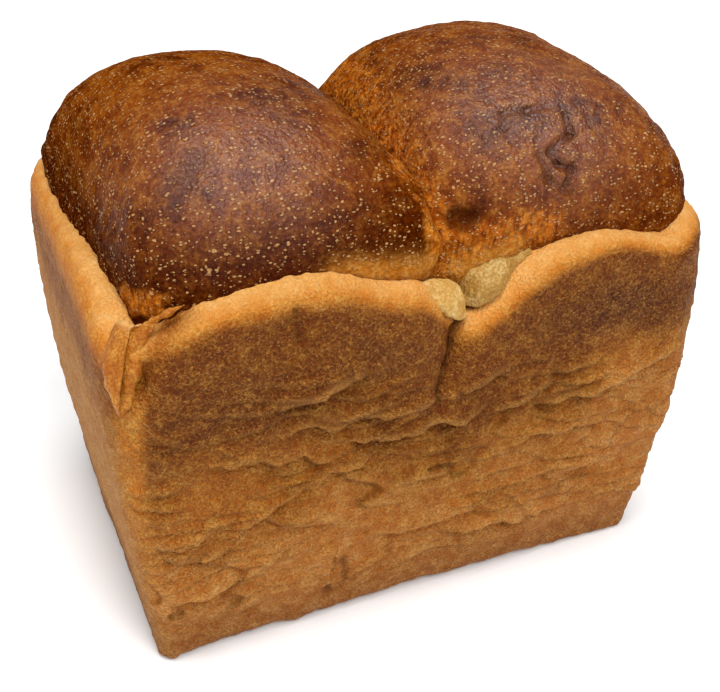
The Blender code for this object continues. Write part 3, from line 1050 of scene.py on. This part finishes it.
class LOAF_OT_mounds(Operator):
    """Builds the two risen mounds with their blisters"""

    bl_idname = "loaf.mounds"
    bl_label = "Mounds"

    def execute(self, context):
        material = mound_crust(context.scene.loaf_colours)
        for seed, (name, shape) in enumerate(MOUNDS.items()):
            points, masks = dressed_mound(context.scene.loaf_sizes, name, shape, 100 + 50 * seed)
            put_mesh(f"{name}_mound", points, sheet_faces(MOUND_SIDE), masks, material)
        return {"FINISHED"}


class LOAF_OT_skins(Operator):
    """Builds the torn skin at the seam and the flap at the front left corner"""

    bl_idname = "loaf.skins"
    bl_label = "Stretched skins"

    def execute(self, context):
        colours = context.scene.loaf_colours
        finishes = {
            "tear": stretched_skin("half_baked_torn_dough", colours.dough, colours.dough_pale),
            "tear_fold": stretched_skin("half_baked_folded_dough", colours.dough_pale, colours.dough_pale),
            "corner_film": stretched_skin("golden_dough_film", colours.film, colours.film_edge),
        }
        for name, knots in SKINS.items():
            points, edge = skin_surface(knots, SKIN_COLUMNS, SKIN_ROWS)
            normals = surface_normals(points, wraps=True)
            lumps = 0.5 * MM * layered_noise(points, 5 * MM, 3, 31)
            lumps += 0.4 * MM * layered_noise(points * (1, 1, 0.25), 2.5 * MM, 3, 33)
            points = points + normals * lumps[..., None]
            put_mesh(name, points, ring_faces(*points.shape[:2]), {"edge": edge}, finishes[name])
        return {"FINISHED"}


class LOAF_OT_stage(Operator):
    """Adds the floor, the lights and the camera"""

    bl_idname = "loaf.stage"
    bl_label = "Studio"

    def execute(self, context):
        add_floor(context.scene.loaf_colours.floor)
        add_lights()
        add_camera(context.scene.loaf_studio)
        return {"FINISHED"}


def add_floor(colour):
    """A plain pale floor."""
    mesh = bpy.data.meshes.new("floor")
    corners = [(-FLOOR_REACH, -FLOOR_REACH, 0), (FLOOR_REACH, -FLOOR_REACH, 0)]
    corners += [(FLOOR_REACH, FLOOR_REACH, 0), (-FLOOR_REACH, FLOOR_REACH, 0)]
    mesh.from_pydata(corners, [], [(0, 1, 2, 3)])
    material = bpy.data.materials.new("matt_white_board")
    material.use_nodes = True
    shader = material.node_tree.nodes["Principled BSDF"]
    shader.inputs["Base Color"].default_value = opaque(colour)
    shader.inputs["Roughness"].default_value = 0.9
    shader.inputs["Specular IOR Level"].default_value = 0.1
    mesh.materials.append(material)
    floor = bpy.data.objects.new("floor", mesh)
    bpy.context.scene.collection.objects.link(floor)


def add_lights():
    """Even light from all round, and wide soft lights from above, from the front and from the left."""
    scene = bpy.context.scene
    scene.world = bpy.data.worlds.new("studio")
    scene.world.use_nodes = True
    background = scene.world.node_tree.nodes["Background"]
    background.inputs["Color"].default_value = (1.0, 1.0, 1.0, 1.0)
    background.inputs["Strength"].default_value = 0.28
    scene.view_settings.view_transform = "Standard"
    for name, place, breadth, power in SUNS:
        data = bpy.data.lights.new(name, "SUN")
        data.energy = power
        data.angle = math.radians(breadth)
        light = bpy.data.objects.new(name, data)
        light.location = place
        light.rotation_mode = "QUATERNION"
        light.rotation_quaternion = (-Vector(place)).to_track_quat("-Z", "Y")
        scene.collection.objects.link(light)


def add_camera(studio):
    """Camera at an azimuth, elevation and distance from its target, turned about its own axis."""
    a, e = studio.azimuth, studio.elevation
    back = Vector((math.sin(a) * math.cos(e), -math.cos(a) * math.cos(e), math.sin(e)))
    right = Vector((math.cos(a), math.sin(a), 0))
    up = back.cross(right)
    tilted_right = right * math.cos(studio.roll) + up * math.sin(studio.roll)
    tilted_up = up * math.cos(studio.roll) - right * math.sin(studio.roll)
    data = bpy.data.cameras.new("camera")
    data.lens = studio.lens
    data.sensor_width = 36.0
    data.clip_start = 0.01
    camera = bpy.data.objects.new("camera", data)
    turned = Matrix((tilted_right, tilted_up, back)).transposed().to_4x4()
    camera.matrix_world = Matrix.Translation(Vector(studio.target) + back * studio.distance) @ turned
    bpy.context.scene.collection.objects.link(camera)
    bpy.context.scene.camera = camera


class LOAF_PT_panel(Panel):
    """Lists the steps and the sizes"""

    bl_label = "Tin loaf"
    bl_idname = "LOAF_PT_panel"
    bl_space_type = "VIEW_3D"
    bl_region_type = "UI"
    bl_category = "Tin loaf"

    def draw(self, context):
        for step in STEPS:
            self.layout.operator(step.bl_idname)
        for name, group in GROUPS.items():
            box = self.layout.box()
            for field in group.__annotations__:
                box.prop(getattr(context.scene, name), field)


STEPS = (LOAF_OT_walls, LOAF_OT_mounds, LOAF_OT_skins, LOAF_OT_stage)
GROUPS = {"loaf_sizes": LoafSizes, "loaf_colours": LoafColours, "loaf_studio": LoafStudio}
CLASSES = (*GROUPS.values(), *STEPS, LOAF_PT_panel)


def register():
    for cls in CLASSES:
        bpy.utils.register_class(cls)
    for name, group in GROUPS.items():
        setattr(bpy.types.Scene, name, PointerProperty(type=group))


def unregister():
    for name in GROUPS:
        delattr(bpy.types.Scene, name)
    for cls in reversed(CLASSES):
        bpy.utils.unregister_class(cls)


def main():
    register()
    bpy.ops.loaf.walls()
    bpy.ops.loaf.mounds()
    bpy.ops.loaf.skins()
    bpy.ops.loaf.stage()


if __name__ == "__main__":
    main()
